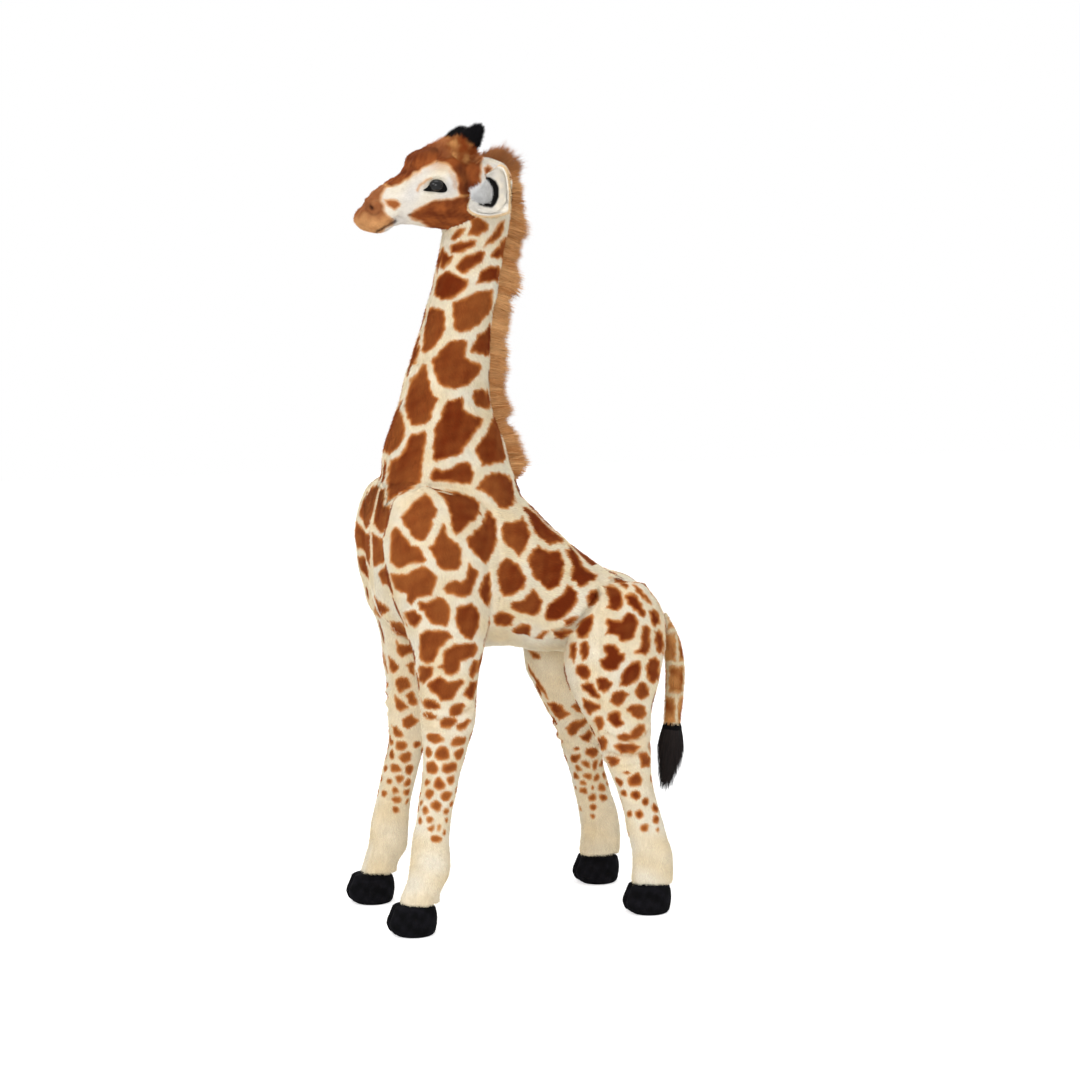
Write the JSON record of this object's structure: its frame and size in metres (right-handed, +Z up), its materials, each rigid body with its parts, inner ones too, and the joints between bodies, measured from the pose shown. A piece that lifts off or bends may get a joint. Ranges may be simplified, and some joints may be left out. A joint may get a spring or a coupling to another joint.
{
  "type": "plush giraffe",
  "caption": "Standing plush giraffe with a tall stuffed neck, patched coat, black hooves, horns, ears that flex, a brushed mane and a swinging tufted tail, over a steel rod frame.",
  "frame": {"origin": "on the floor, under the middle of the toy's length and width", "axes": "+Z up; the giraffe faces -Y; its left side is +X"},
  "size_m": [0.3116, 0.6004, 1.345],
  "materials": {
    "printed_plush": "short plush pile, cream ground with brown patches",
    "brown_plush": "short plush pile, brown",
    "black_plush": "dense short plush pile, black",
    "cream_plush": "short plush pile, cream",
    "brown_fur": "long brushed pile, tan brown",
    "black_fur": "long straight pile, near black",
    "white_fur": "long soft pile, white",
    "fibre_filling": "loose polyester fibre",
    "steel": "plain drawn steel rod",
    "sole_board": "hardboard",
    "gloss_black": "glossy, very dark brown to black",
    "black_felt": "flat black felt",
    "washer_plastic": "matt, undyed"
  },
  "bodies": {
    "body": {"torso_skin": "printed_plush", "neck_skin": "printed_plush", "head_skin": "printed_plush", "front_leg_skin_left": "printed_plush", "front_leg_skin_right": "printed_plush", "rear_leg_skin_left": "printed_plush", "rear_leg_skin_right": "printed_plush", "horn_stalk_left": "brown_plush", "horn_stalk_right": "brown_plush", "front_hoof_left": "black_plush", "front_hoof_right": "black_plush", "rear_hoof_left": "black_plush", "rear_hoof_right": "black_plush", "horn_tip_left": "black_plush", "horn_tip_right": "black_plush", "mane": "brown_fur", "torso_filling": "fibre_filling", "neck_filling": "fibre_filling", "head_filling": "fibre_filling", "front_leg_filling_left": "fibre_filling", "front_leg_filling_right": "fibre_filling", "rear_leg_filling_left": "fibre_filling", "rear_leg_filling_right": "fibre_filling", "front_leg_rod_left": "steel", "front_leg_rod_right": "steel", "rear_leg_rod_left": "steel", "rear_leg_rod_right": "steel", "shoulder_bar": "steel", "hip_bar": "steel", "spine_rod": "steel", "neck_rod": "steel", "front_foot_plate_left": "sole_board", "front_foot_plate_right": "sole_board", "rear_foot_plate_left": "sole_board", "rear_foot_plate_right": "sole_board", "eye_left": "gloss_black", "eye_right": "gloss_black", "eye_rim_left": "black_felt", "eye_rim_right": "black_felt", "eye_washer_left": "washer_plastic", "eye_washer_right": "washer_plastic"},
    "ear_left": {"ear_back_left": "printed_plush", "ear_lining_left": "cream_plush", "ear_fluff_left": "white_fur"},
    "ear_right": {"ear_back_right": "printed_plush", "ear_lining_right": "cream_plush", "ear_fluff_right": "white_fur"},
    "tail": {"tail": "printed_plush"},
    "tail_tuft": {"tail_tuft": "black_fur"}
  },
  "joints": [
    {"name": "ear_left_fold", "type": "hinge", "parent": "body", "child": "ear_left", "pos_m": [0.06505, -0.09608, 1.24163], "axis": [0.2394, 0.5513, 0.7992], "range_deg": [-10, 30], "stiffness_Nm_per_rad": 0.05},
    {"name": "ear_right_fold", "type": "hinge", "parent": "body", "child": "ear_right", "pos_m": [-0.06505, -0.09608, 1.24163], "axis": [0.2394, -0.5513, -0.7992], "range_deg": [-10, 30], "stiffness_Nm_per_rad": 0.05},
    {"name": "tail_lift", "type": "hinge", "parent": "body", "child": "tail", "pos_m": [0, 0.26643, 0.49469], "axis": [1, 0, 0], "range_deg": [0, 80]},
    {"name": "tuft_swing", "type": "hinge", "parent": "tail", "child": "tail_tuft", "pos_m": [0, 0.27973, 0.29709], "axis": [0, 1, 0], "range_deg": [-40, 40]}
  ]
}
